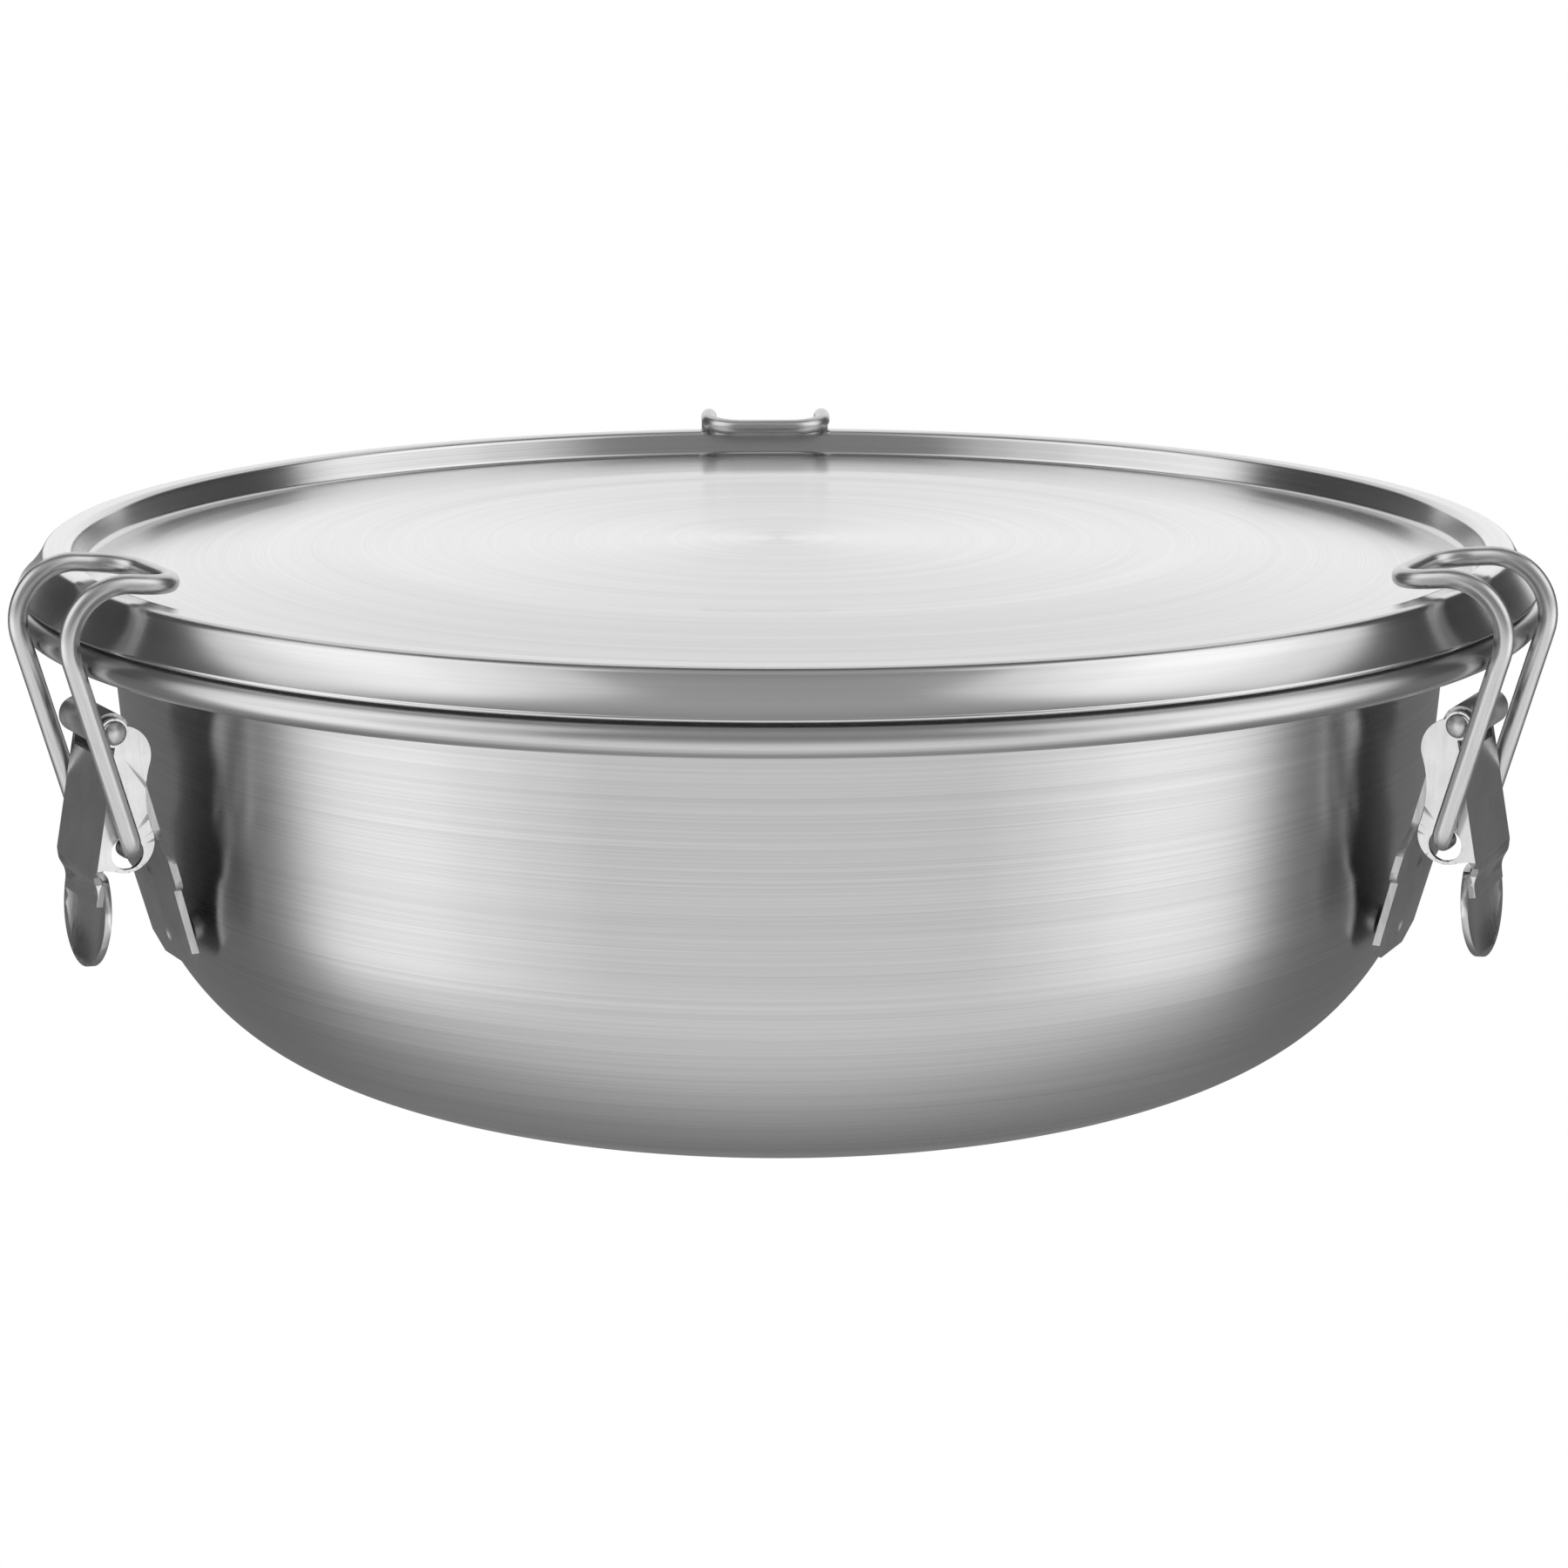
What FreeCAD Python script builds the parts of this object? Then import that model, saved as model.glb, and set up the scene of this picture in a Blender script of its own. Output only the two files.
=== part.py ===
import FreeCAD, Part
import math
import os

# Round stainless lunch box: a bowl with a rolled rim, a pressed lid with a seal in its rim, and three
# over-centre wire clips at 120 degrees. Millimetres, Z up, origin at the centre of the flat bottom.
# A clip is drawn once at azimuth 0 (X outward, Y across, Z up) and turned to its place.

V = FreeCAD.Vector
AXIS_Z = V(0, 0, 1)

# ---- driving dimensions -------------------------------------------------------------------------
EDGE_Z = 57.5                    # height of the lid's upper outer edge, which the heights below refer to
BOWL_SHEET = 0.7
LID_SHEET = 0.6

BOTTOM_FLAT_R = 51.3             # bowl
CORNER_LOW = (23.3, 50.0)        # bend radius and degrees turned
CORNER_HIGH = (28.5, 36.2)
FLANGE_TOP_Z = EDGE_Z - 3.75
FLANGE_BEND_R = 1.6
BEAD_R = 1.6
BEAD_CENTRE_R = 86.6
BEAD_TURN = 255.0

LID_CENTRE_Z = EDGE_Z - 0.65     # lid
LID_DISC_R = 44.0
LID_PANEL_END_R = 79.8
LID_CREST_IN_R = 82.0
LID_CREST_OUT_R = 83.45

SEAL_IN_R = 81.95                # seal ring in the lid's rim

CLIP_AZIMUTHS = {"rear": 90.0, "left": 210.0, "right": 330.0}
HINGE = (84.6, EDGE_Z - 13.0)    # lever's hinge axis: radius and height
PIN_R = 1.1
PIN_PLAY = 0.05
PIN_HEAD_R = 1.3
PIN_HEAD = 0.35
PIN_HALF = 6.6

PLATE = 0.8                      # bracket
PLATE_HEADING = 75.7
PLATE_FOOT_Z = EDGE_Z - 40.2
KNUCKLE_HALF = 5.2
KNUCKLE_TURN = 290.0
WING_HALF = 7.4
WING_Z = EDGE_Z - 27.0
WING_RISE = 2.2
WING_DROP = 3.4
TAIL_HALF = 6.2
WELD_R = 1.7
WELD_STAND = 1.1

LEVER_SHEET = 0.7                # lever
EAR_OUT = 6.2
EAR_IN = 5.6
WEB_TOP = (84.95, EDGE_Z - 16.3)
WEB_FOOT = (87.15, EDGE_Z - 27.4)
UPPER_LOBE = (84.0, EDGE_Z - 15.6, 3.3)
LOWER_LOBE = (83.9, EDGE_Z - 25.0, 3.15)
WAIST_R = 11.42
EAR_WAIST_X = 81.5
EYE_R = 1.55
SPOON_R = 6.3
SPOON_DISH_R = 18.0
SPOON_DEEP = (85.5, EDGE_Z - 33.1)
SPOON_TILT = 5.5

WIRE_R = 1.05                    # wire bail
BAIL_AXIS = (83.7, EDGE_Z - 25.5)
BAIL_HOLE_R = 1.78
BAIL_HOLE_DROP = 0.52
ARM_Y = 7.95
ARM_END_Y = 5.0
ARM_BEND_R = 1.6
SHOULDER = (83.5, EDGE_Z - 3.2, 6.05)
HOOK_FALL = 7.0
HOOK_RUN = 1.2
BRIDGE_CORNER_R = 4.5


# ---- helpers ------------------------------------------------------------------------------------
def heading_vector(degrees):
    return V(math.cos(math.radians(degrees)), 0, math.sin(math.radians(degrees)))


def left_of(degrees):
    return heading_vector(degrees + 90.0)


def sheet_face(start, heading, moves, thickness, side):
    """Face in the XZ plane: a path of runs and bends, thickened to its left (side 1) or right (-1).

    A move is ("run", length) or ("bend", radius on the path, degrees turned, left positive).
    """
    here = V(start[0], 0, start[1])
    near = []
    far = []
    across = left_of(heading) * (side * thickness)
    ends = [here, here + across]
    for move in moves:
        if move[0] == "run":
            there = here + heading_vector(heading) * move[1]
            near.append(Part.LineSegment(here, there).toShape())
            far.append(Part.LineSegment(here + across, there + across).toShape())
            here = there
            continue
        turn = 1.0 if move[2] > 0 else -1.0
        centre = here + left_of(heading) * (turn * move[1])
        points = []
        for share in (0.0, 0.5, 1.0):
            spoke = left_of(heading + move[2] * share) * (-turn)
            points.append((centre + spoke * move[1], centre + spoke * (move[1] - side * turn * thickness)))
        near.append(Part.Arc(points[0][0], points[1][0], points[2][0]).toShape())
        far.append(Part.Arc(points[0][1], points[1][1], points[2][1]).toShape())
        here = points[2][0]
        heading = heading + move[2]
        across = left_of(heading) * (side * thickness)
    caps = [Part.LineSegment(ends[0], ends[1]).toShape(), Part.LineSegment(here, here + across).toShape()]
    edges = Part.__sortEdges__(near + far + caps)
    return Part.Face(Part.Wire(edges))


def turned(face):
    return face.revolve(V(0, 0, 0), AXIS_Z, 360)


def across(face, half):
    slab = face.extrude(V(0, 2 * half, 0))
    slab.translate(V(0, -half, 0))
    return slab


def side_polygon(points, half):
    corners = [V(x, 0, z) for x, z in points]
    return across(Part.Face(Part.makePolygon(corners + corners[:1])), half)


def front_polygon(points, x_from, x_to):
    corners = [V(x_from, y, z) for y, z in points]
    return Part.Face(Part.makePolygon(corners + corners[:1])).extrude(V(x_to - x_from, 0, 0))


def rounded_upright_edges(blank, low, high, radius):
    """A plate blank with its corners between two heights rounded, seen from the front."""
    corners = []
    for edge in blank.Edges:
        middle = edge.CenterOfMass
        if edge.BoundBox.XLength > 10 and low < middle.z < high:
            corners.append(edge)
    return blank.makeFillet(radius, corners)


def cross_rod(x, z, radius, half):
    return Part.makeCylinder(radius, 2 * half, V(x, -half, z), V(0, 1, 0))


def one_solid(shape):
    clean = shape.removeSplitter()
    if len(clean.Solids) != 1:
        raise ValueError("expected one solid, got %d" % len(clean.Solids))
    return clean.Solids[0]


# ---- bowl, lid and seal -------------------------------------------------------------------------
def make_bowl():
    wall_heading = CORNER_LOW[1] + CORNER_HIGH[1]
    rise = CORNER_LOW[0] * (1 - math.cos(math.radians(CORNER_LOW[1])))
    rise += CORNER_HIGH[0] * (math.cos(math.radians(CORNER_LOW[1])) - math.cos(math.radians(wall_heading)))
    bend_rise = FLANGE_BEND_R * (1 - math.cos(math.radians(wall_heading)))
    wall_run = (FLANGE_TOP_Z - BOWL_SHEET - rise - bend_rise) / math.sin(math.radians(wall_heading))
    reach = BOTTOM_FLAT_R + CORNER_LOW[0] * math.sin(math.radians(CORNER_LOW[1]))
    reach += CORNER_HIGH[0] * (math.sin(math.radians(wall_heading)) - math.sin(math.radians(CORNER_LOW[1])))
    reach += wall_run * math.cos(math.radians(wall_heading))
    reach += FLANGE_BEND_R * math.sin(math.radians(wall_heading))
    moves = [
        ("run", BOTTOM_FLAT_R),
        ("bend", CORNER_LOW[0], CORNER_LOW[1]),
        ("bend", CORNER_HIGH[0], CORNER_HIGH[1]),
        ("run", wall_run),
        ("bend", FLANGE_BEND_R, -wall_heading),
        ("run", BEAD_CENTRE_R - reach),
        ("bend", BEAD_R - BOWL_SHEET, -BEAD_TURN / 3.0),
        ("bend", BEAD_R - BOWL_SHEET, -BEAD_TURN / 3.0),
        ("bend", BEAD_R - BOWL_SHEET, -BEAD_TURN / 3.0),
    ]
    return turned(sheet_face((0, 0), 0.0, moves, BOWL_SHEET, 1))


def make_lid():
    panel_fall = 3.85
    wall_lean = 76.0
    panel_run = (LID_PANEL_END_R - 53.99) / math.cos(math.radians(panel_fall))
    moves = [
        ("run", LID_DISC_R),
        ("bend", 30.0, 5.7),
        ("bend", 30.0, -5.7),
        ("bend", 60.0, -panel_fall),
        ("run", panel_run),
        ("bend", 0.8, panel_fall + wall_lean),
        ("run", 2.11),
        ("bend", 0.9, -wall_lean),
        ("run", LID_CREST_OUT_R - LID_CREST_IN_R),
        ("bend", 1.2, -62.0),
        ("bend", 12.37, 22.0),
    ]
    return turned(sheet_face((0, LID_CENTRE_Z), 0.0, moves, LID_SHEET, -1))


def make_seal():
    low = FLANGE_TOP_Z + 0.1
    outline = [
        (SEAL_IN_R, low), (84.9, low), (84.9, low + 1.1), (83.6, EDGE_Z - 0.35),
        (83.1, EDGE_Z + 0.2), (SEAL_IN_R + 0.3, EDGE_Z + 0.2), (SEAL_IN_R, EDGE_Z - 0.2),
    ]
    corners = [V(x, 0, z) for x, z in outline]
    return turned(Part.Face(Part.makePolygon(corners + corners[:1])))


# ---- clip pieces, drawn at azimuth 0 ------------------------------------------------------------
def make_bracket():
    """Slanted plate from the lower wall up to a knuckle curled over the hinge pin."""
    bore = PIN_R + PIN_PLAY
    root = V(HINGE[0], 0, HINGE[1]) + left_of(PLATE_HEADING) * bore
    run = (root.z - PLATE_FOOT_Z) / math.sin(math.radians(PLATE_HEADING))
    foot = root - heading_vector(PLATE_HEADING) * run
    moves = [("run", run), ("bend", bore, -KNUCKLE_TURN)]
    plate = across(sheet_face((foot.x, foot.z), PLATE_HEADING, moves, PLATE, 1), WING_HALF)

    half_outline = [
        (KNUCKLE_HALF, EDGE_Z - 9.0), (KNUCKLE_HALF, WING_Z + WING_RISE), (WING_HALF, WING_Z),
        (WING_HALF, WING_Z - WING_DROP), (TAIL_HALF, WING_Z - WING_DROP - 0.5),
        (TAIL_HALF - 0.4, EDGE_Z - 38.2), (2.6, EDGE_Z - 41.0),
    ]
    outline = half_outline + [(-y, z) for y, z in reversed(half_outline)]
    blank = front_polygon(outline, 70, 90)
    blank = rounded_upright_edges(blank, WING_Z - WING_DROP - 0.1, WING_Z + WING_RISE + 0.1, 1.4)
    plate = plate.common(blank)

    inward = left_of(PLATE_HEADING)
    for along in (2.9, 10.9):
        seat = foot + heading_vector(PLATE_HEADING) * along
        plate = plate.cut(Part.makeSphere(2.0, seat - inward * 1.75))
    weld_seat = foot + heading_vector(PLATE_HEADING) * 2.9 + inward * (PLATE - 0.2)
    plate = plate.fuse(Part.makeCylinder(WELD_R, WELD_STAND + 0.2, weld_seat, inward))
    return one_solid(plate)


def make_pin():
    pin = cross_rod(HINGE[0], HINGE[1], PIN_R, PIN_HALF - 0.1)
    for way in (1, -1):
        seat = V(HINGE[0], way * (PIN_HALF - PIN_HEAD), HINGE[1])
        head = Part.makeCylinder(PIN_HEAD_R, PIN_HEAD, seat, V(0, way, 0))
        rim = [edge for edge in head.Edges if abs(abs(edge.CenterOfMass.y) - PIN_HALF) < 0.01]
        pin = pin.fuse(head.makeFillet(0.25, rim))
    return one_solid(pin)


def waist_touch(lobe, waist):
    centre = V(lobe[0], 0, lobe[1])
    return centre + (waist - centre).normalize() * lobe[2]


def make_lever():
    """Channel of two holed ears and a web, ending below in a round dished thumb tab."""
    face_foot = V(WEB_FOOT[0], 0, WEB_FOOT[1])
    sill = V(WEB_TOP[0], 0, WEB_TOP[1])
    down = (face_foot - sill).normalize()
    web_heading = math.degrees(math.atan2(down.z, down.x))
    face_top = sill - down * 3.9
    past = face_top - down * 8
    beyond = face_foot + down * 8

    waist_x = EAR_WAIST_X - WAIST_R
    waist_z = UPPER_LOBE[1] - math.sqrt((UPPER_LOBE[2] + WAIST_R) ** 2 - (UPPER_LOBE[0] - waist_x) ** 2)
    waist = V(waist_x, 0, waist_z)
    high = waist_touch(UPPER_LOBE, waist)
    low = waist_touch(LOWER_LOBE, waist)
    block = side_polygon([
        (high.x, high.z), (low.x, low.z), LOWER_LOBE[:2], (LOWER_LOBE[0], LOWER_LOBE[1] - LOWER_LOBE[2]),
        (face_foot.x, face_foot.z), (face_top.x, face_top.z), UPPER_LOBE[:2],
    ], EAR_OUT)
    for lobe in (UPPER_LOBE, LOWER_LOBE):
        block = block.fuse(cross_rod(lobe[0], lobe[1], lobe[2], EAR_OUT))
    block = block.cut(cross_rod(waist_x, waist_z, WAIST_R, 20))
    block = block.cut(side_polygon([
        (past.x, past.z), (past.x + 12, past.z), (beyond.x + 12, beyond.z), (beyond.x, beyond.z),
    ], 20)).removeSplitter()
    block = block.fuse(cross_rod(HINGE[0], HINGE[1], EYE_R, EAR_OUT)).removeSplitter()

    web_in = left_of(web_heading) * -LEVER_SHEET
    inner_past = past + web_in
    inner_beyond = beyond + web_in
    block = block.cut(side_polygon([
        (inner_past.x, inner_past.z), (inner_past.x - 14, inner_past.z),
        (inner_beyond.x - 14, inner_beyond.z), (inner_beyond.x, inner_beyond.z),
    ], EAR_IN))
    block = block.cut(side_polygon([
        (sill.x + 6, sill.z + 1), (sill.x - 6, sill.z - 1), (sill.x - 6, sill.z + 14),
        (sill.x + 6, sill.z + 14),
    ], EAR_IN))

    neck_start = face_foot - down * 2.2
    neck_moves = [("run", 3.0), ("bend", 1.2, -34.0), ("run", 0.6), ("bend", 2.4, 32.0), ("run", 1.0)]
    neck_face = sheet_face((neck_start.x, neck_start.z), web_heading, neck_moves, LEVER_SHEET, -1)
    taper = [
        (EAR_OUT, EDGE_Z - 20), (EAR_OUT, EDGE_Z - 27.6), (5.5, EDGE_Z - 28.4), (5.0, EDGE_Z - 29.4),
        (4.9, EDGE_Z - 33),
    ]
    neck = across(neck_face, EAR_OUT)
    neck = neck.common(front_polygon(taper + [(-y, z) for y, z in reversed(taper)], 78, 92))

    outward = heading_vector(SPOON_TILT)
    deep = V(SPOON_DEEP[0], 0, SPOON_DEEP[1])
    ball = deep + outward * SPOON_DISH_R
    dish = Part.makeSphere(SPOON_DISH_R + LEVER_SHEET, ball).cut(Part.makeSphere(SPOON_DISH_R, ball))
    dish = dish.common(Part.makeCylinder(SPOON_R, 5.0, deep - outward * 2.0, outward))
    dish = dish.cut(Part.makeBox(20, 30, 20, V(75, -15, EDGE_Z - 29.0)))
    lever = block.fuse([neck, dish])

    lever = lever.cut(cross_rod(HINGE[0], HINGE[1], PIN_R + PIN_PLAY, 20))
    hole = V(BAIL_AXIS[0], 0, BAIL_AXIS[1]) + down * BAIL_HOLE_DROP
    lever = lever.cut(cross_rod(hole.x, hole.z, BAIL_HOLE_R, 20))
    return one_solid(lever)


def arc(start, middle, end):
    return Part.Arc(start, middle, end).toShape()


def line(start, end):
    return Part.LineSegment(start, end).toShape()


def half_bail(way):
    """Edges of one side's centreline, from the bent-in end to the bridge, and the last point."""
    axis = V(BAIL_AXIS[0], 0, BAIL_AXIS[1])
    centre = V(SHOULDER[0], 0, SHOULDER[1])
    radius = SHOULDER[2]
    gap = centre - axis
    lean = math.degrees(math.atan2(gap.z, gap.x) - math.asin(radius / gap.Length))
    arm = heading_vector(lean)
    y = V(0, way, 0)
    wide = y * ARM_Y
    hook = heading_vector(180.0 + HOOK_FALL)

    stub = axis + y * (ARM_Y - ARM_BEND_R)
    bend_end = axis + wide + arm * ARM_BEND_R
    bend_middle = stub + arm * ARM_BEND_R + (y - arm).normalize() * ARM_BEND_R
    arm_top = axis + wide + arm * math.sqrt(gap.Length ** 2 - radius ** 2)
    shoulder_middle = centre + wide + heading_vector((lean + HOOK_FALL) / 2.0) * radius
    shoulder_end = centre + wide + heading_vector(90.0 + HOOK_FALL) * radius
    corner = shoulder_end + hook * HOOK_RUN
    corner_centre = corner - y * BRIDGE_CORNER_R
    corner_middle = corner_centre + (y + hook).normalize() * BRIDGE_CORNER_R
    bridge = corner_centre + hook * BRIDGE_CORNER_R
    edges = [
        line(axis + y * ARM_END_Y, stub), arc(stub, bend_middle, bend_end), line(bend_end, arm_top),
        arc(arm_top, shoulder_middle, shoulder_end), line(shoulder_end, corner),
        arc(corner, corner_middle, bridge),
    ]
    return edges, bridge


def make_bail():
    """Closed wire loop: bent-in ends, two arms over the rim, and a rounded bridge."""
    near, near_end = half_bail(1)
    far, far_end = half_bail(-1)
    path = Part.Wire(Part.__sortEdges__(near + [line(near_end, far_end)] + far))
    start = V(BAIL_AXIS[0], ARM_END_Y, BAIL_AXIS[1])
    section = Part.Wire(Part.Circle(start, V(0, 1, 0), WIRE_R).toShape())
    solid = one_solid(path.makePipeShell([section], True, False))
    expected = math.pi * WIRE_R ** 2 * path.Length
    if abs(solid.Volume - expected) > 0.01 * expected:
        raise ValueError("wire volume is off: %.1f against %.1f" % (solid.Volume, expected))
    return solid


def main():
    os.makedirs("parts", exist_ok=True)
    pieces = {"bowl": make_bowl(), "lid": make_lid(), "lid_gasket": make_seal()}
    clip = {"bracket": make_bracket(), "hinge_pin": make_pin(), "lever": make_lever(), "bail": make_bail()}
    for place, azimuth in CLIP_AZIMUTHS.items():
        for name, shape in clip.items():
            copy = shape.copy()
            copy.rotate(V(0, 0, 0), AXIS_Z, azimuth)
            pieces[place + "_" + name] = copy
    for name, shape in pieces.items():
        shape.exportStep("parts/" + name + ".step")
        print(name, round(shape.Volume, 1), shape.isValid(), len(shape.Solids))


main()
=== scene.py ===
import math

import bpy
from mathutils import Matrix, Vector


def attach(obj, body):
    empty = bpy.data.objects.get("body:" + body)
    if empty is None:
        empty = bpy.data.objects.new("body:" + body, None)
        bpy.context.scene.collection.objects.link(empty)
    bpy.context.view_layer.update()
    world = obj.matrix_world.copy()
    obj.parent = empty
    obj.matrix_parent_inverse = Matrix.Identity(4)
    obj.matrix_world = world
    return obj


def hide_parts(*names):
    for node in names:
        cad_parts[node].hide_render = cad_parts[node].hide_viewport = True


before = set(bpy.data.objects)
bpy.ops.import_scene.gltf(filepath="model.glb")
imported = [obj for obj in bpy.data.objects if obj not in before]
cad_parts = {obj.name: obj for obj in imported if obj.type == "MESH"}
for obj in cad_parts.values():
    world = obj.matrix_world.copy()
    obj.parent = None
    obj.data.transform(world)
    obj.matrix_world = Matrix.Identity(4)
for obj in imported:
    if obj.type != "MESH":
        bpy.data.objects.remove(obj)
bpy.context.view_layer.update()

# Round stainless lunch box: bowl, lid with a seal, and three wire clips. The sizes below are in
# millimetres, in the frame's own axes, and the meshes are made in metres. A clip is drawn at azimuth 0
# and turned to its place.

MM = 0.001
LID_SHEET = 0.6
BOWL_SHEET = 0.7

CLIPS = {"rear": 90.0, "left": 210.0, "right": 330.0}


# ---- sizes --------------------------------------------------------------------------------------
EDGE_Z = 57.5                    # lid's upper outer edge
FLANGE_TOP_Z = EDGE_Z - 3.75
BEAD_R = 1.6
BEAD_CENTRE_R = 86.6
WALL_HEADING = 86.2
WIRE_R = 1.05
HINGE = (84.6, EDGE_Z - 13.0)    # radius and height of a lever's hinge pin
TURN_STEPS = 384                 # steps round the bowl and lid
WIRE_STEPS = 28                  # steps round a wire


# ---- bent sheet profiles ------------------------------------------------------------------------
def heading_of(degrees):
    return math.cos(math.radians(degrees)), math.sin(math.radians(degrees))


def bent_path(start, heading, moves, longest=1.0, degrees_per_step=4.0):
    """Points (r, z, heading) along runs and bends; a bend is (radius, degrees turned, left positive)."""
    r, z = start
    points = [(r, z, heading)]
    for move in moves:
        if move[0] == "run":
            c, s = heading_of(heading)
            r, z = r + c * move[1], z + s * move[1]
            points.append((r, z, heading))
            continue
        radius, turn = move[1:]
        way = math.copysign(radius, turn)
        c, s = heading_of(heading)
        centre_r, centre_z = r - s * way, z + c * way
        arc_length = math.radians(abs(turn)) * radius
        steps = max(2, math.ceil(abs(turn) / degrees_per_step), math.ceil(arc_length / longest))
        for step in range(1, steps + 1):
            c, s = heading_of(heading + turn * step / steps)
            points.append((centre_r + s * way, centre_z - c * way, heading + turn * step / steps))
        r, z, heading = points[-1]
    return points


def sheet_outline(start, heading, moves, thickness, side):
    """Open outline from the axis, out along one face, round the rolled end and back along the other face."""
    path = bent_path(start, heading, moves)
    near, far = [], []
    for r, z, way in path:
        left_r, left_z = -heading_of(way)[1] * side, heading_of(way)[0] * side
        near.append((r, z, -left_r, -left_z))
        far.append((r + left_r * thickness, z + left_z * thickness, left_r, left_z))
    r, z, way = path[-1]
    c, s = heading_of(way)
    left_r, left_z = -s * side, c * side
    half = thickness / 2.0
    cap = []
    for step in range(1, 8):
        across, ahead = -math.cos(math.pi * step / 8.0), math.sin(math.pi * step / 8.0)
        normal = (left_r * across + c * ahead, left_z * across + s * ahead)
        cap.append((r + left_r * half + normal[0] * half, z + left_z * half + normal[1] * half, *normal))
    return near + cap + far[::-1]


def revolved(name, outline, steps=TURN_STEPS):
    """Closed mesh turned from an outline of (r, z, normal r, normal z).

    The outline starts and ends on the axis, or closes on itself. The grain attribute holds the turn as a
    unit circle and the distance across the brushed lines in millimetres.
    """
    on_axis = outline[0][0] < 1e-6
    rings = outline[1:-1] if on_axis else outline
    verts, normals, grain = [], [], []
    for r, z, nr, nz in rings:
        for k in range(steps):
            c, sn = heading_of(360.0 * k / steps)
            verts.append((r * c * MM, r * sn * MM, z * MM))
            normals.append((nr * c, nr * sn, nz))
            grain.append((c, sn, r + z))
    faces = []
    loops = range(len(rings) - 1) if on_axis else range(len(rings))
    for i in loops:
        j = (i + 1) % len(rings)
        for k in range(steps):
            m = (k + 1) % steps
            faces.append((i * steps + k, i * steps + m, j * steps + m, j * steps + k))
    if on_axis:
        for (r, z, nr, nz), ring in ((outline[0], 0), (outline[-1], len(rings) - 1)):
            verts.append((0.0, 0.0, z * MM))
            normals.append((0.0, 0.0, math.copysign(1.0, nz)))
            grain.append((0.0, 0.0, z))
            tip = len(verts) - 1
            for k in range(steps):
                m = (k + 1) % steps
                pair = (ring * steps + k, ring * steps + m)
                faces.append((tip, *pair[::-1]) if ring == 0 else (tip, *pair))
    return mesh_piece(name, verts, faces, normals, grain)


def mesh_piece(name, verts, faces, normals=None, grain=None):
    mesh = bpy.data.meshes.new(name)
    mesh.from_pydata(verts, [], faces)
    mesh.validate()
    if normals:
        first = mesh.polygons[0]
        if first.normal.dot(Vector(normals[first.vertices[0]])) < 0:
            mesh.flip_normals()
    mesh.shade_smooth()
    if grain:
        layer = mesh.attributes.new("grain", "FLOAT_VECTOR", "POINT")
        layer.data.foreach_set("vector", [value for point in grain for value in point])
    if normals:
        mesh.normals_split_custom_set_from_vertices(normals)
    piece = bpy.data.objects.new(name, mesh)
    bpy.context.scene.collection.objects.link(piece)
    return piece


# ---- bowl, lid and seal -------------------------------------------------------------------------
def make_bowl():
    flat = 51.3
    low_r, low_turn = 23.3, 50.0
    high_r, high_turn = 28.5, 36.2
    flange_bend = 1.6
    bead_turn = 235.0                # the rolled end's round cap fills the rest of the curl
    low_c, low_s = heading_of(low_turn)
    wall_c, wall_s = heading_of(WALL_HEADING)
    rise = low_r * (1 - low_c) + high_r * (low_c - wall_c)
    bend_rise = flange_bend * (1 - wall_c)
    wall = (FLANGE_TOP_Z - BOWL_SHEET - rise - bend_rise) / wall_s
    reach = flat + low_r * low_s + high_r * (wall_s - low_s)
    reach += wall * wall_c + flange_bend * wall_s
    moves = [
        ("run", flat),
        ("bend", low_r, low_turn),
        ("bend", high_r, high_turn),
        ("run", wall),
        ("bend", flange_bend, -WALL_HEADING),
        ("run", BEAD_CENTRE_R - reach),
        ("bend", BEAD_R - BOWL_SHEET, -bead_turn),
    ]
    piece = revolved("bowl_shell", sheet_outline((0, 0), 0.0, moves, BOWL_SHEET, 1))
    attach(piece, "bowl")
    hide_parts("bowl")
    return piece


def make_lid():
    disc = 44.0
    step_bend, step_lean = 30.0, 5.7
    panel_start, panel_end = 53.99, 79.8
    crest_in, crest_out = 82.0, 83.45
    fall = 3.85
    lean = 76.0
    moves = [
        ("run", disc),
        ("bend", step_bend, step_lean),
        ("bend", step_bend, -step_lean),
        ("bend", 60.0, -fall),
        ("run", (panel_end - panel_start) / heading_of(fall)[0]),
        ("bend", 0.8, fall + lean),
        ("run", 2.11),
        ("bend", 0.9, -lean),
        ("run", crest_out - crest_in),
        ("bend", 1.2, -62.0),
        ("bend", 12.37, 20.6),
    ]
    piece = revolved("lid_shell", sheet_outline((0, EDGE_Z - 0.65), 0.0, moves, LID_SHEET, -1))
    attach(piece, "lid")
    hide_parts("lid")
    return piece


# ---- wire bails ---------------------------------------------------------------------------------
def arc_points(centre, first, last, radius, steps):
    """Quarter circle from centre + first * radius to centre + last * radius, without its first point."""
    turns = [math.pi / 2.0 * step / steps for step in range(1, steps + 1)]
    return [centre + (first * math.cos(t) + last * math.sin(t)) * radius for t in turns]


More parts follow.
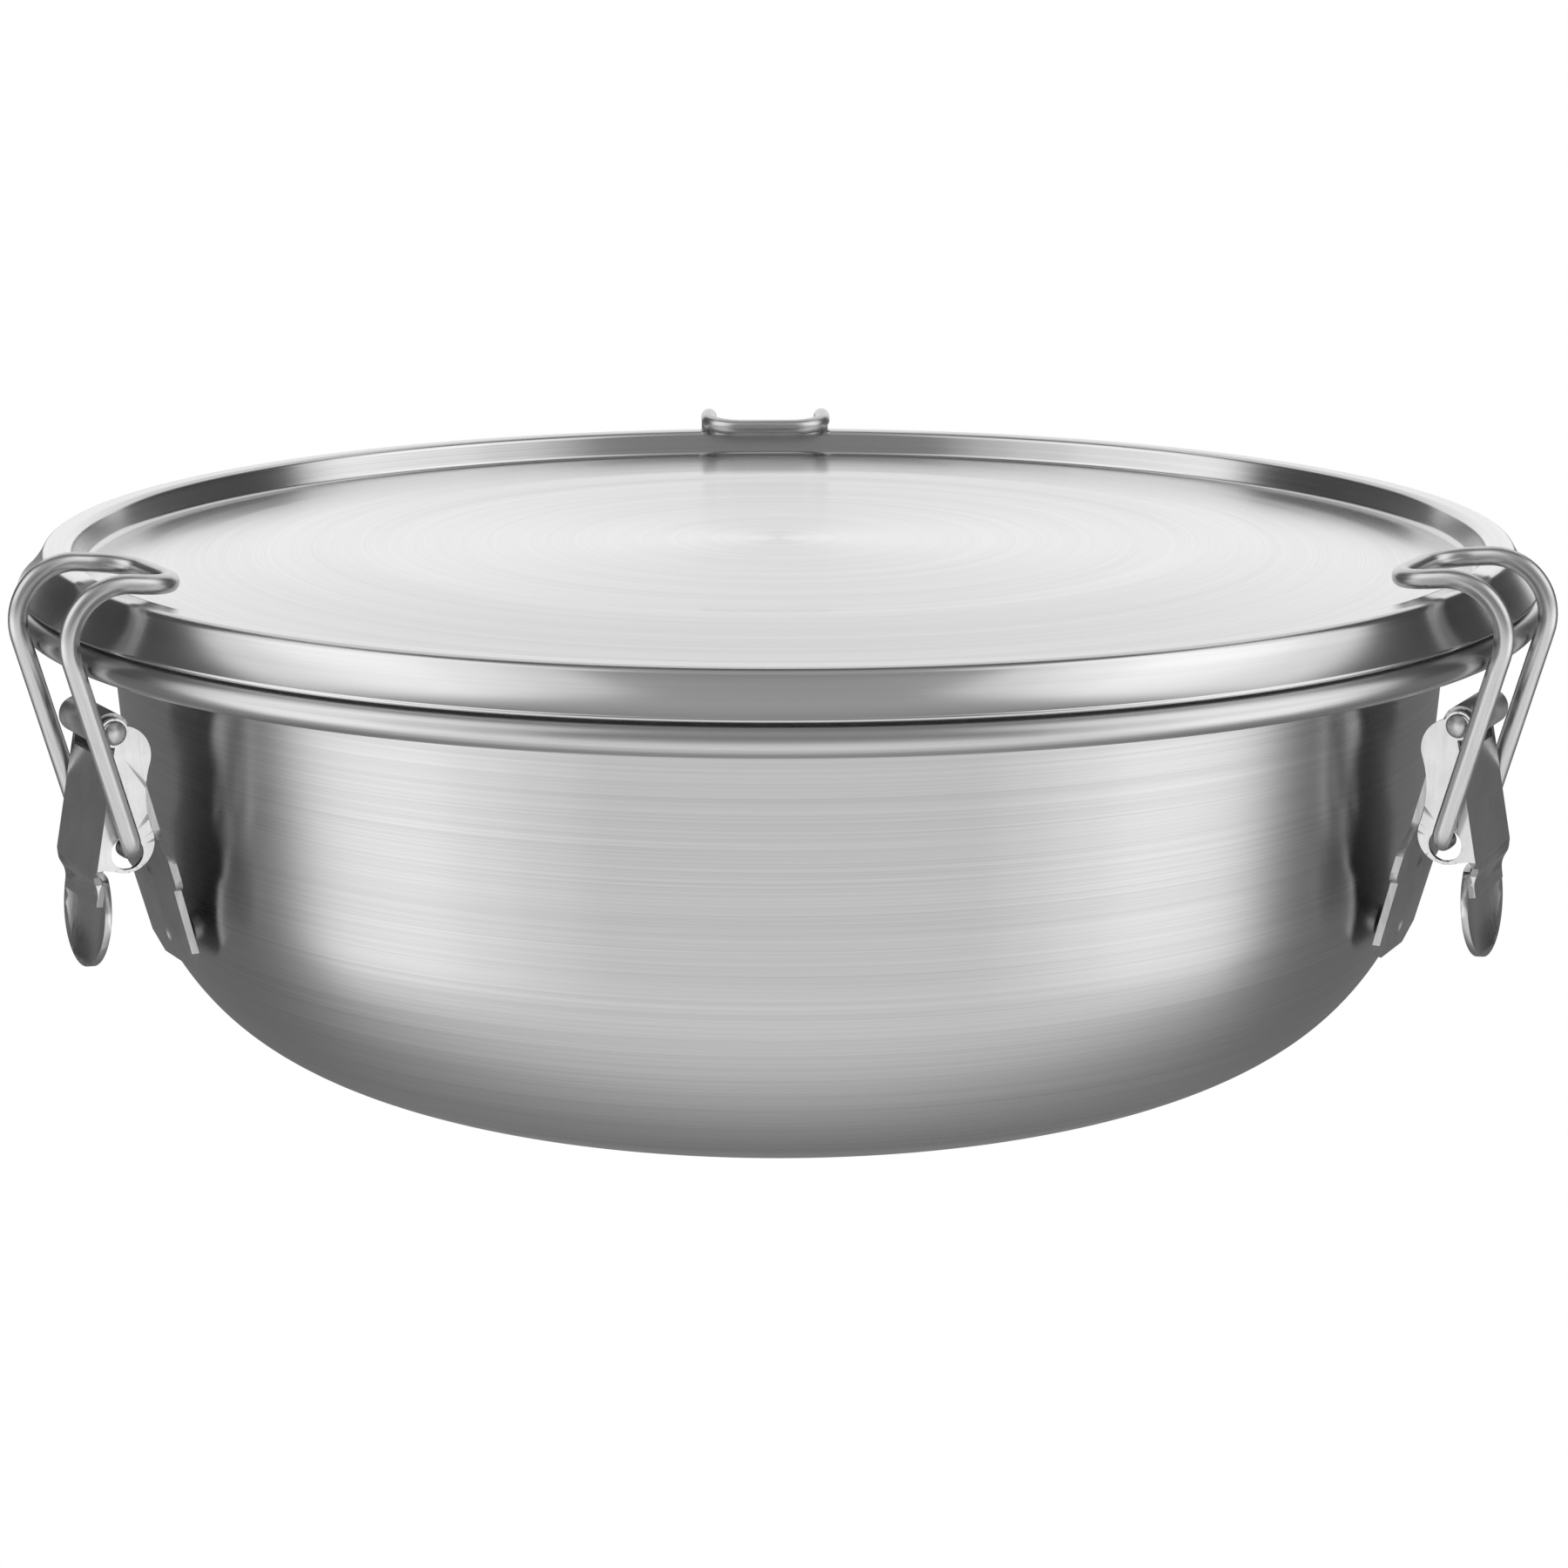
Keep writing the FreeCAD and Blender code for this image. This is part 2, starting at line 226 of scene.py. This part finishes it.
def bail_side(way):
    """Centreline of one side of the wire, from its bent-in end to the bridge on the lid."""
    axis = Vector((83.7, 0, EDGE_Z - 25.5))
    shoulder = Vector((83.5, 0, EDGE_Z - 3.2))
    shoulder_r, hook_fall, hook_run, corner_r = 6.05, 7.0, 1.2, 4.5
    arm_y, arm_end_y, arm_bend = 7.95, 5.0, 1.6
    y = Vector((0, way, 0))
    gap = shoulder - axis
    lean = math.degrees(math.atan2(gap.z, gap.x) - math.asin(shoulder_r / gap.length))
    arm = Vector((heading_of(lean)[0], 0, heading_of(lean)[1]))
    hook = Vector((heading_of(180 + hook_fall)[0], 0, heading_of(180 + hook_fall)[1]))

    points = [axis + y * arm_end_y, axis + y * (arm_y - arm_bend)]
    points += arc_points(points[-1] + arm * arm_bend, -arm, y, arm_bend, 8)
    length = math.sqrt(gap.length ** 2 - shoulder_r ** 2)
    for step in range(1, 9):
        points.append(axis + y * arm_y + arm * (arm_bend + (length - arm_bend) * step / 8.0))
    for step in range(1, 21):
        c, s = heading_of(lean - 90.0 + (180.0 + hook_fall - lean) * step / 20.0)
        points.append(shoulder + y * arm_y + Vector((c, 0, s)) * shoulder_r)
    points.append(points[-1] + hook * hook_run)
    points += arc_points(points[-1] - y * corner_r, y, hook, corner_r, 12)
    return points


def tube(name, points, radius):
    """Round wire along points, with rounded ends."""
    tangents = []
    for i in range(len(points)):
        before, after = points[max(i - 1, 0)], points[min(i + 1, len(points) - 1)]
        tangents.append((after - before).normalized())
    side = Vector((1, 0, 0)) - tangents[0] * tangents[0].x
    side.normalize()
    frames = []
    for i, (point, tangent) in enumerate(zip(points, tangents)):
        if i:
            side = tangents[i - 1].rotation_difference(tangent) @ side
            side = (side - tangent * side.dot(tangent)).normalized()
        frames.append((point, tangent, side.copy(), radius))
    first, last = frames[0], frames[-1]
    rings = [(*first[:3], radius * 0.75), (first[0] + first[1] * radius * 0.25, *first[1:])]
    rings += frames[1:-1]
    rings += [(last[0] - last[1] * radius * 0.25, *last[1:]), (*last[:3], radius * 0.75)]
    verts, grain, faces = [], [], []
    travelled = 0.0
    before = points[0]
    for point, tangent, across, size in rings:
        travelled += (point - before).length
        before = point
        other = tangent.cross(across)
        for k in range(WIRE_STEPS):
            c, s = heading_of(360.0 * k / WIRE_STEPS)
            verts.append((point + (across * c + other * s) * size) * MM)
            grain.append((c, s, travelled))
    count = len(rings)
    for i in range(count - 1):
        for k in range(WIRE_STEPS):
            m = (k + 1) % WIRE_STEPS
            ring, after = i * WIRE_STEPS, (i + 1) * WIRE_STEPS
            faces.append((ring + k, ring + m, after + m, after + k))
    faces.append(tuple(range(WIRE_STEPS))[::-1])
    faces.append(tuple((count - 1) * WIRE_STEPS + k for k in range(WIRE_STEPS)))
    return mesh_piece(name, verts, faces, None, grain)


def make_bail(place, azimuth):
    near, far = bail_side(1), bail_side(-1)
    middle = [near[-1].lerp(far[-1], share / 6.0) for share in range(1, 6)]
    piece = tube(place + "_bail_wire", near + middle + far[::-1], WIRE_R)
    piece.data.transform(Matrix.Rotation(math.radians(azimuth), 4, "Z"))
    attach(piece, place + "_bail")
    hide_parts(place + "_bail")
    return piece


# ---- hinge pins ---------------------------------------------------------------------------------
def make_pin(place, azimuth):
    """Pin with a low domed head at each end."""
    shank_r, head_r, seat, tip = 1.1, 1.3, 6.25, 6.6
    edge = seat + 0.06
    dome = []
    for step in range(7):
        turn = math.pi / 2.0 * step / 6.0
        c, s = math.cos(turn), math.sin(turn)
        dome.append((head_r * s, edge + (tip - edge) * c, s, 2.0 * c))
    side = dome + [(head_r, seat, 0.7, -0.7), (shank_r, seat - 0.01, 1.0, 0.0)]
    outline = side + [(r, -z, nr, -nz) for r, z, nr, nz in side[::-1]]
    outline = [(r, z, nr / math.hypot(nr, nz), nz / math.hypot(nr, nz)) for r, z, nr, nz in outline]
    piece = revolved(place + "_hinge_pin_turned", outline[::-1], 40)
    place_turn = Matrix.Rotation(math.radians(azimuth), 4, "Z")
    hinge = Matrix.Translation((HINGE[0] * MM, 0, HINGE[1] * MM))
    piece.data.transform(place_turn @ hinge @ Matrix.Rotation(math.radians(90), 4, "X"))
    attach(piece, "bowl")
    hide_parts(place + "_hinge_pin")
    return piece


# ---- clip sheet parts ---------------------------------------------------------------------------
def soften_edges(node, width):
    """Small rounded edges on a stamped part, which keeps its own shape."""
    weld = node.modifiers.new("join_seams", "WELD")
    weld.merge_threshold = 2e-6
    bevel = node.modifiers.new("round_edges", "BEVEL")
    bevel.width = width * MM
    bevel.segments = 2
    bevel.limit_method = "ANGLE"
    bevel.angle_limit = math.radians(40)
    bevel.harden_normals = True
    bevel.use_clamp_overlap = True


# ---- materials ----------------------------------------------------------------------------------
def new_material(name):
    material = bpy.data.materials.new(name)
    material.use_nodes = True
    nodes = material.node_tree.nodes
    nodes.clear()
    output = nodes.new("ShaderNodeOutputMaterial")
    shader = nodes.new("ShaderNodeBsdfPrincipled")
    material.node_tree.links.new(shader.outputs["BSDF"], output.inputs["Surface"])
    return material, nodes, material.node_tree.links, shader


def add_noise(nodes, links, source, scale, detail, rough=0.6):
    """Noise over a stretched copy of the source vector, as a factor."""
    mapping = nodes.new("ShaderNodeMapping")
    mapping.inputs["Scale"].default_value = scale
    noise = nodes.new("ShaderNodeTexNoise")
    noise.inputs["Scale"].default_value = 1.0
    noise.inputs["Detail"].default_value = detail
    noise.inputs["Roughness"].default_value = rough
    links.new(source, mapping.inputs["Vector"])
    links.new(mapping.outputs["Vector"], noise.inputs["Vector"])
    return noise.outputs["Fac"]


def add_range(nodes, links, source, low, high, start=0.3, end=0.7):
    spread = nodes.new("ShaderNodeMapRange")
    spread.inputs["From Min"].default_value = start
    spread.inputs["From Max"].default_value = end
    spread.inputs["To Min"].default_value = low
    spread.inputs["To Max"].default_value = high
    links.new(source, spread.inputs["Value"])
    return spread.outputs["Result"]


def add_grey(nodes, links, source, dark, light):
    ramp = nodes.new("ShaderNodeValToRGB")
    ramp.color_ramp.elements[0].position = 0.3
    ramp.color_ramp.elements[1].position = 0.7
    ramp.color_ramp.elements[0].color = (dark, dark, dark, 1)
    ramp.color_ramp.elements[1].color = (light, light, light, 1)
    links.new(source, ramp.inputs["Fac"])
    return ramp.outputs["Color"]


def spun_steel(name, line_scale, base, roughness, anisotropy, depth):
    """Steel brushed in circles: fine lines round the axis, drawn from the grain attribute."""
    material, nodes, links, shader = new_material(name)
    grain = nodes.new("ShaderNodeAttribute")
    grain.attribute_name = "grain"
    fine = add_noise(nodes, links, grain.outputs["Vector"], line_scale, 3.0, 0.7)
    broad = add_noise(nodes, links, grain.outputs["Vector"], (0.5, 0.5, 0.6), 3.0)
    links.new(add_grey(nodes, links, fine, *base), shader.inputs["Base Color"])
    links.new(add_range(nodes, links, broad, roughness[0], roughness[1]), shader.inputs["Roughness"])
    bump = nodes.new("ShaderNodeBump")
    bump.inputs["Strength"].default_value = depth
    bump.inputs["Distance"].default_value = 0.00001
    links.new(fine, bump.inputs["Height"])
    links.new(bump.outputs["Normal"], shader.inputs["Normal"])
    tangent = nodes.new("ShaderNodeTangent")
    tangent.direction_type = "RADIAL"
    tangent.axis = "Z"
    links.new(tangent.outputs["Tangent"], shader.inputs["Tangent"])
    shader.inputs["Metallic"].default_value = 1.0
    shader.inputs["Anisotropic"].default_value = anisotropy
    shader.inputs["Anisotropic Rotation"].default_value = 0.25
    return material


def wire_steel():
    material, nodes, links, shader = new_material("drawn_wire_steel")
    grain = nodes.new("ShaderNodeAttribute")
    grain.attribute_name = "grain"
    streaks = add_noise(nodes, links, grain.outputs["Vector"], (6.0, 6.0, 0.25), 4.0)
    links.new(add_grey(nodes, links, streaks, 0.5, 0.66), shader.inputs["Base Color"])
    links.new(add_range(nodes, links, streaks, 0.26, 0.38), shader.inputs["Roughness"])
    bump = nodes.new("ShaderNodeBump")
    bump.inputs["Strength"].default_value = 0.3
    bump.inputs["Distance"].default_value = 0.00001
    links.new(streaks, bump.inputs["Height"])
    links.new(bump.outputs["Normal"], shader.inputs["Normal"])
    shader.inputs["Metallic"].default_value = 1.0
    return material


def sheet_steel(name, dark, light, low, high):
    """Stamped sheet: satin steel with a fine rolled grain and small spots of wear."""
    material, nodes, links, shader = new_material(name)
    place = nodes.new("ShaderNodeTexCoord")
    rolled = add_noise(nodes, links, place.outputs["Object"], (2500.0, 2500.0, 180.0), 5.0)
    cloudy = add_noise(nodes, links, place.outputs["Object"], (260.0, 260.0, 260.0), 3.0)
    links.new(add_grey(nodes, links, cloudy, dark, light), shader.inputs["Base Color"])
    links.new(add_range(nodes, links, rolled, low, high), shader.inputs["Roughness"])
    bump = nodes.new("ShaderNodeBump")
    bump.inputs["Strength"].default_value = 0.25
    bump.inputs["Distance"].default_value = 0.00001
    links.new(rolled, bump.inputs["Height"])
    links.new(bump.outputs["Normal"], shader.inputs["Normal"])
    shader.inputs["Metallic"].default_value = 1.0
    return material


def silicone():
    material, nodes, links, shader = new_material("seal_silicone")
    place = nodes.new("ShaderNodeTexCoord")
    cloudy = add_noise(nodes, links, place.outputs["Object"], (300.0, 300.0, 300.0), 3.0)
    links.new(add_grey(nodes, links, cloudy, 0.62, 0.72), shader.inputs["Base Color"])
    links.new(add_range(nodes, links, cloudy, 0.45, 0.6), shader.inputs["Roughness"])
    return material


def dress(piece, material):
    piece.data.materials.clear()
    piece.data.materials.append(material)


# ---- studio -------------------------------------------------------------------------------------
CAMERA_AZIMUTH = -91.4
CAMERA_ELEVATION = 13.64
CAMERA_DISTANCE = 0.400
LOOK_HEIGHT = 0.0271
LOOK_RIGHT = 0.0006
LENS = 76.88
PANEL_DISTANCE = 1.5
SIDE_ROLL = 11.0


def from_camera_side(azimuth, elevation, distance):
    """Point at an azimuth measured from the camera's side, positive to the right."""
    a, e = math.radians(CAMERA_AZIMUTH + azimuth), math.radians(elevation)
    return Vector((math.cos(a) * math.cos(e), math.sin(a) * math.cos(e), math.sin(e))) * distance


def make_camera():
    camera = bpy.data.objects.new("camera", bpy.data.cameras.new("camera"))
    bpy.context.scene.collection.objects.link(camera)
    target = Vector((0, 0, LOOK_HEIGHT)) + from_camera_side(90, 0, LOOK_RIGHT)
    back = from_camera_side(0, CAMERA_ELEVATION, 1.0)
    camera.location = target + back * CAMERA_DISTANCE
    camera.rotation_euler = (-back).to_track_quat("-Z", "Y").to_euler()
    camera.data.lens = LENS
    camera.data.sensor_width = 36.0
    camera.data.clip_start = 0.01
    bpy.context.scene.camera = camera


def softbox(name, low_azimuth, high_azimuth, low, high, radiance, roll=0.0):
    """Panel light facing the object, between two azimuths and two elevations seen from it."""
    azimuth, elevation = (low_azimuth + high_azimuth) / 2.0, (low + high) / 2.0
    data = bpy.data.lights.new(name, "AREA")
    data.shape = "RECTANGLE"
    data.size = 2 * PANEL_DISTANCE * math.tan(math.radians((high_azimuth - low_azimuth) / 2.0))
    data.size_y = 2 * PANEL_DISTANCE * math.tan(math.radians((high - low) / 2.0))
    data.energy = radiance * math.pi * data.size * data.size_y
    light = bpy.data.objects.new(name, data)
    light.location = from_camera_side(azimuth, elevation, PANEL_DISTANCE) + Vector((0, 0, LOOK_HEIGHT))
    facing = from_camera_side(azimuth, elevation, 1.0).to_track_quat("Z", "Y").to_matrix()
    light.rotation_euler = (facing @ Matrix.Rotation(math.radians(roll), 3, "Z")).to_euler()
    light.visible_camera = False
    bpy.context.scene.collection.objects.link(light)


def make_softboxes():
    """Two side panels and a back panel.

    A side panel is three in one, so that its edge towards the camera fades; its top leans back.
    """
    low, high = -28, 60
    back_left, back_right = 149, 211
    for layer, left_inner, right_inner in ((1, -34, 38), (2, -46, 48), (3, -58, 59)):
        softbox("left_softbox_%d" % layer, -95, left_inner, low, high, 0.22, SIDE_ROLL)
        softbox("right_softbox_%d" % layer, right_inner, 97, low, high, 0.22, -SIDE_ROLL)
    softbox("left_softbox_top", -97, -42, 16, 62, 0.34, SIDE_ROLL)
    softbox("right_softbox_top", 46, 101, 16, 62, 0.4, -SIDE_ROLL)
    softbox("back_softbox_low", back_left, back_right, -1, 12, 1.03)
    softbox("back_softbox_middle", back_left, back_right, 12, 26, 1.03)
    softbox("back_softbox_high", back_left, back_right, 26, 68, 0.85)


def make_world():
    """White for the camera. The steel sees a studio graded from the front, over the top, to the back."""
    world = bpy.data.worlds.new("studio")
    bpy.context.scene.world = world
    world.use_nodes = True
    nodes, links = world.node_tree.nodes, world.node_tree.links
    nodes.clear()
    place = nodes.new("ShaderNodeTexCoord")
    turn = nodes.new("ShaderNodeMapping")
    turn.inputs["Rotation"].default_value = (0, 0, math.radians(-90.0 - CAMERA_AZIMUTH))
    axes = nodes.new("ShaderNodeSeparateXYZ")
    lean = nodes.new("ShaderNodeMath")
    lean.operation = "ARCTAN2"
    front = nodes.new("ShaderNodeMath")
    front.operation = "MULTIPLY"
    front.inputs[1].default_value = -1.0
    links.new(place.outputs["Generated"], turn.inputs["Vector"])
    links.new(turn.outputs["Vector"], axes.inputs["Vector"])
    links.new(axes.outputs["Y"], front.inputs[0])
    links.new(axes.outputs["Z"], lean.inputs[0])
    links.new(front.outputs[0], lean.inputs[1])
    share = add_range(nodes, links, lean.outputs[0], 0.0, 1.0, -math.pi, math.pi)
    ramp = nodes.new("ShaderNodeValToRGB")
    stops = [                        # angle above the front horizon, brightness
        (-180, 0.1), (-170, 0.2), (-120, 0.2), (-92, 0.32), (-62, 0.85), (-30, 1.05), (-8, 1.05), (-2, 0.6),
        (5, 0.3), (42, 0.27), (50, 0.46), (75, 0.48), (88, 0.35), (97, 0.07), (170, 0.07), (180, 0.1),
    ]
    elements = ramp.color_ramp.elements
    for angle, value in stops[1:-1]:
        element = elements.new((angle + 180.0) / 360.0)
        element.color = (value, value, value, 1)
    for element, (angle, value) in ((elements[0], stops[0]), (elements[-1], stops[-1])):
        element.position = (angle + 180.0) / 360.0
        element.color = (value, value, value, 1)
    links.new(share, ramp.inputs["Fac"])
    graded = nodes.new("ShaderNodeBackground")
    links.new(ramp.outputs["Color"], graded.inputs["Color"])
    plain = nodes.new("ShaderNodeBackground")
    plain.inputs["Color"].default_value = (1, 1, 1, 1)
    rays = nodes.new("ShaderNodeLightPath")
    mix = nodes.new("ShaderNodeMixShader")
    output = nodes.new("ShaderNodeOutputWorld")
    links.new(rays.outputs["Is Camera Ray"], mix.inputs["Fac"])
    links.new(graded.outputs["Background"], mix.inputs[1])
    links.new(plain.outputs["Background"], mix.inputs[2])
    links.new(mix.outputs["Shader"], output.inputs["Surface"])


def build():
    bowl_steel = spun_steel("bowl_brushed_steel", (0.5, 0.5, 4.5), (0.52, 0.63), (0.27, 0.31), 0.85, 0.03)
    lid_steel = spun_steel("lid_spun_steel", (0.5, 0.5, 4.0), (0.58, 0.64), (0.2, 0.25), 0.6, 0.02)
    wire = wire_steel()
    lever_steel = sheet_steel("lever_satin_steel", 0.5, 0.58, 0.15, 0.25)
    plate_steel = sheet_steel("bracket_steel", 0.46, 0.56, 0.28, 0.42)
    dress(make_bowl(), bowl_steel)
    dress(make_lid(), lid_steel)
    dress(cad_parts["lid_gasket"], silicone())
    for place, azimuth in CLIPS.items():
        dress(make_bail(place, azimuth), wire)
        dress(make_pin(place, azimuth), wire)
        for kind, material, edge in (("lever", lever_steel, 0.12), ("bracket", plate_steel, 0.14)):
            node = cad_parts[place + "_" + kind]
            dress(node, material)
            soften_edges(node, edge)


bpy.context.scene.view_settings.view_transform = "Standard"
make_camera()
make_world()
make_softboxes()
build()
